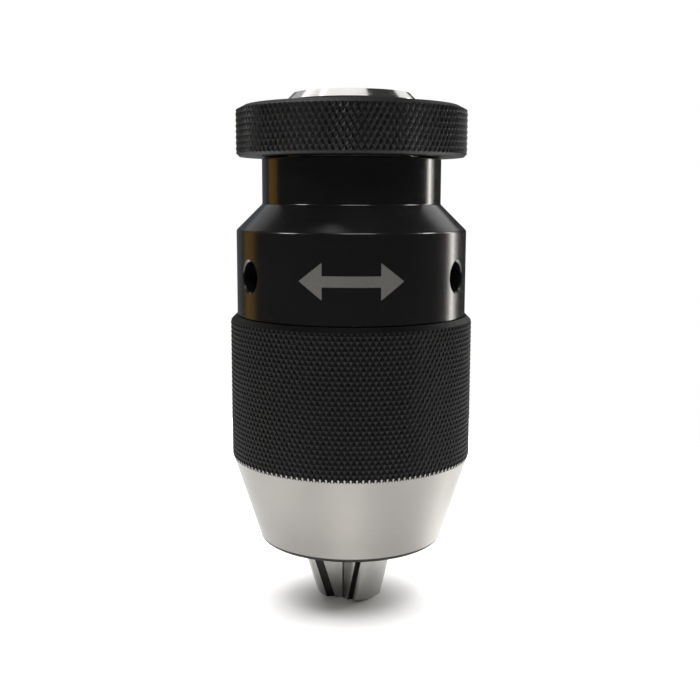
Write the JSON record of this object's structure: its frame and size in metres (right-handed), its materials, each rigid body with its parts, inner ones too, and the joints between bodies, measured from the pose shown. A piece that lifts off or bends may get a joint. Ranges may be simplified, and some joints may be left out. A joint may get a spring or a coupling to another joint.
{
  "type": "drill chuck",
  "caption": "Keyless self-tightening drill chuck: knurled ring and sleeve, ground steel nose cone, jaws that close as the sleeve turns, taper socket at the rear.",
  "frame": {"origin": "centre of the taper socket's mouth, on the hub's rear face", "axes": "+Z along the chuck's axis, out of the socket towards the machine; the jaws point along -Z; the side facing -Y is the front; jaw 1 lies 55 degrees clockwise of +X seen from above"},
  "size_m": [0.05, 0.05, 0.1059],
  "materials": {
    "black_knurl": "black oxide over diamond knurl, satin",
    "black_gloss": "black oxide over a turned surface, glossy",
    "ground_steel": "fine ground, bright",
    "jaw_steel": "hardened and ground, satin",
    "bearing_steel": "polished",
    "spring_steel": "blued",
    "bronze": "turned",
    "seal_rubber": "matt"
  },
  "bodies": {
    "hub": {"taper_hub": "ground_steel", "grip_ring": "black_knurl", "lower_race": "bearing_steel"},
    "sleeve": {"rear_sleeve": "black_gloss", "dust_seal": "seal_rubber", "neck_bush": "bronze", "upper_race": "bearing_steel", "thrust_washer": "bronze", "wave_spring": "spring_steel", "retaining_ring": "spring_steel", "front_sleeve": "black_knurl", "jaw_guide": "jaw_steel", "guide_pins": "bearing_steel"},
    "cage": {"ball_cage": "bronze", "bearing_balls": "bearing_steel"},
    "spindle": {"feed_spindle": "jaw_steel", "spindle_stop_ring": "spring_steel"},
    "jaw_1": {"jaw_1": "jaw_steel"},
    "jaw_2": {"jaw_2": "jaw_steel"},
    "jaw_3": {"jaw_3": "jaw_steel"}
  },
  "joints": [
    {"name": "sleeve_spin", "type": "hinge", "parent": "hub", "child": "sleeve", "pos_m": [0, 0, -0.05], "axis": [0, 0, 1], "range_deg": [-2460, 0]},
    {"name": "spindle_feed", "type": "slide", "parent": "sleeve", "child": "spindle", "axis": [0, 0, 1], "range_m": [0, 0.02052]},
    {"name": "cage_roll", "type": "hinge", "parent": "hub", "child": "cage", "pos_m": [0, 0, -0.03255], "axis": [0, 0, 1], "range_deg": [-1231, 0]},
    {"name": "jaw_1_slide", "type": "slide", "parent": "sleeve", "child": "jaw_1", "axis": [0.1706, -0.2437, 0.9547], "range_m": [0, 0.02149]},
    {"name": "jaw_2_slide", "type": "slide", "parent": "sleeve", "child": "jaw_2", "axis": [0.1257, 0.2696, 0.9547], "range_m": [0, 0.02149]},
    {"name": "jaw_3_slide", "type": "slide", "parent": "sleeve", "child": "jaw_3", "axis": [-0.2963, -0.0259, 0.9547], "range_m": [0, 0.02149]}
  ],
  "couplings": [
    {"joint": "spindle_feed", "follows": "sleeve_spin", "m_per_rad": -0.00047746},
    {"joint": "cage_roll", "follows": "sleeve_spin", "ratio": 0.5},
    {"joint": "jaw_1_slide", "follows": "sleeve_spin", "m_per_rad": -0.0005001},
    {"joint": "jaw_2_slide", "follows": "sleeve_spin", "m_per_rad": -0.0005001},
    {"joint": "jaw_3_slide", "follows": "sleeve_spin", "m_per_rad": -0.0005001}
  ]
}
